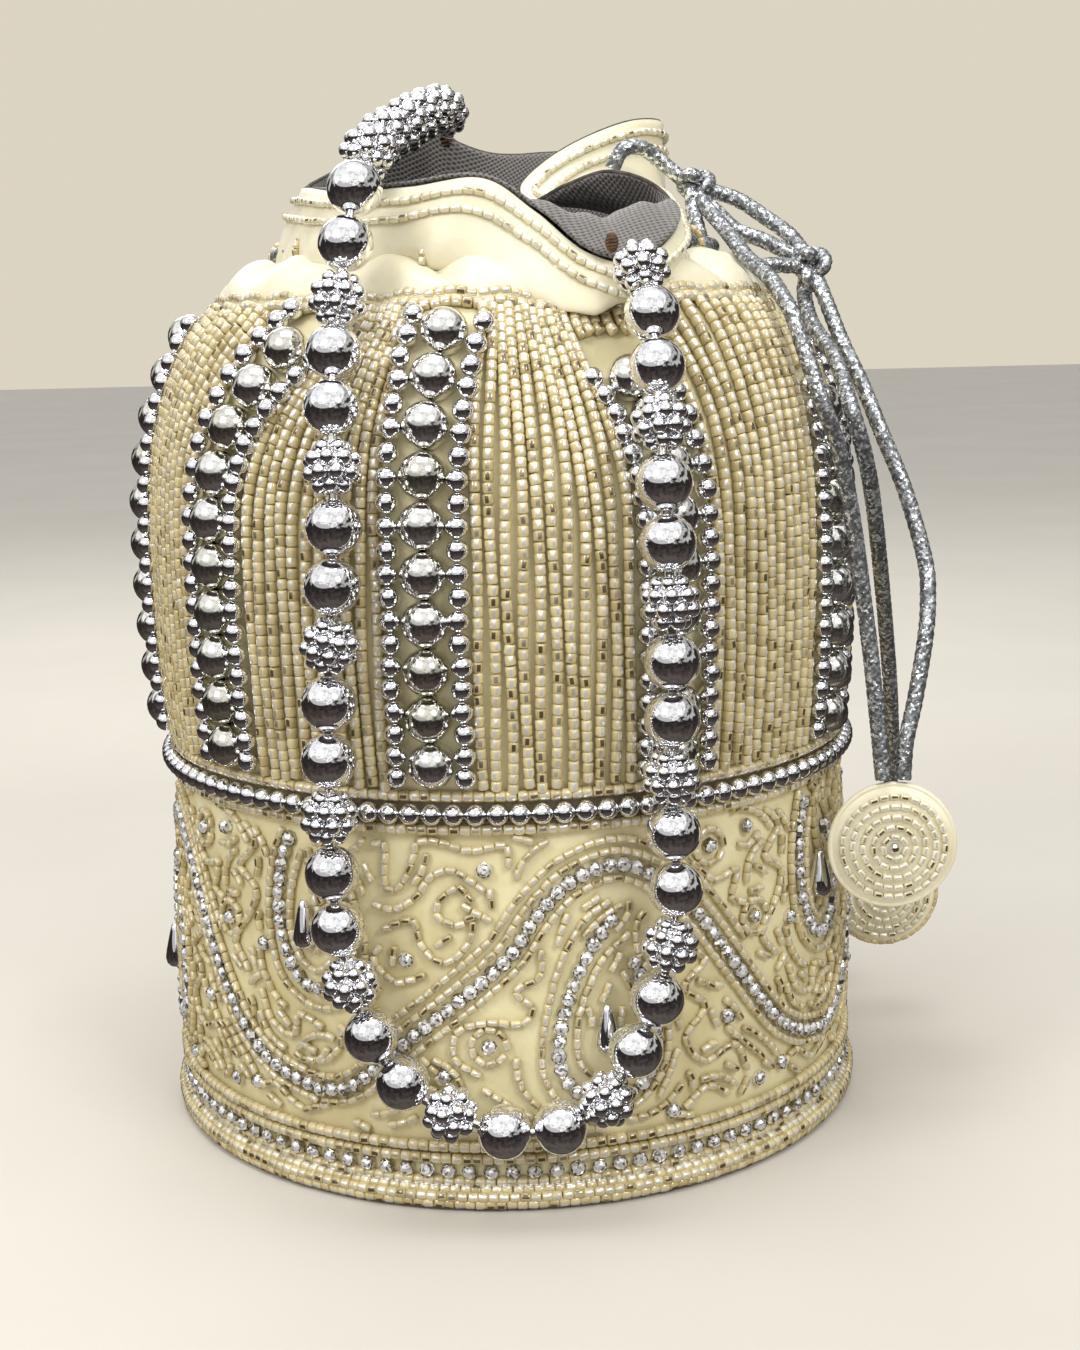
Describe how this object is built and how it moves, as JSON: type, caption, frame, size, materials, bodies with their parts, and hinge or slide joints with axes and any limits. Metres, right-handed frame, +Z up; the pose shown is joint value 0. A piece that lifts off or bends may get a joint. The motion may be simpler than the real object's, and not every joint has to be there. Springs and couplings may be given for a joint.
{
  "type": "beaded evening bag",
  "caption": "Drum-shaped beaded evening bag with a ruffled drawstring mouth, a bead-strand handle and hanging disc tassels.",
  "frame": {"origin": "centre of the flat underside, on the surface the bag stands on", "axes": "+Z up along the drum's axis, -Y is the front where the handle hangs, +X is the side of the tassels"},
  "size_m": [0.1828, 0.1686, 0.2208],
  "materials": {
    "satin": "cream satin with a soft sheen",
    "seed_beads": "champagne glass seed beads sewn on cream satin",
    "silver_beads": "mirror silver plated beads",
    "lining": "dark taupe woven lining",
    "board": "plain stiff board, hidden",
    "cord": "silver metallic braid",
    "thread": "brown sewing thread"
  },
  "bodies": {
    "bag": {"base_cover": "satin", "base_board": "board", "hem_piping": "seed_beads", "lower_band": "satin", "upper_body": "seed_beads", "wall_stiffener": "board", "lining_bag": "lining", "bead_belt": "silver_beads", "shoulder_border": "seed_beads", "pillar_01": "silver_beads", "pillar_02": "silver_beads", "pillar_03": "silver_beads", "pillar_04": "silver_beads", "pillar_05": "silver_beads", "pillar_06": "silver_beads", "pillar_07": "silver_beads", "pillar_08": "silver_beads", "pillar_09": "silver_beads", "pillar_10": "silver_beads", "satin_collar": "satin", "ruffle": "satin", "ruffle_lining": "lining", "neck_cord": "cord", "drawstring_loop_1": "seed_beads", "drawstring_loop_2": "seed_beads", "drawstring_loop_3": "seed_beads", "drawstring_loop_4": "seed_beads", "drawstring_loop_5": "seed_beads", "handle_tail": "silver_beads", "handle_knot_left": "thread", "handle_knot_right": "thread", "bow_tail": "cord", "bow_loop_outer": "cord", "bow_loop_inner": "cord", "neck_tail": "cord", "strand_top": "cord", "bow_knot": "cord", "end_knot": "cord"},
    "handle": {"handle_strand": "silver_beads"},
    "cords": {"strand_left": "cord", "strand_right": "cord", "strand_back": "cord"},
    "front_disc": {"front_tassel": "satin"},
    "back_disc": {"back_tassel": "satin"}
  },
  "joints": [
    {"name": "handle_swing", "type": "hinge", "parent": "bag", "child": "handle", "pos_m": [0.0017, -0.0595, 0.1863], "axis": [-0.9549, 0.0729, 0.2879], "range_deg": [0, 150]},
    {"name": "cord_swing", "type": "hinge", "parent": "bag", "child": "cords", "pos_m": [0.066, -0.014, 0.174], "axis": [0, -1, 0], "range_deg": [0, 38]},
    {"name": "front_tassel_twist", "type": "hinge", "parent": "cords", "child": "front_disc", "pos_m": [0.0786, -0.0454, 0.0754], "axis": [0, 0, 1], "range_deg": [-90, 90]},
    {"name": "back_tassel_twist", "type": "hinge", "parent": "cords", "child": "back_disc", "pos_m": [0.0898, 0.022, 0.0438], "axis": [0, 0, 1], "range_deg": [-90, 90]}
  ]
}
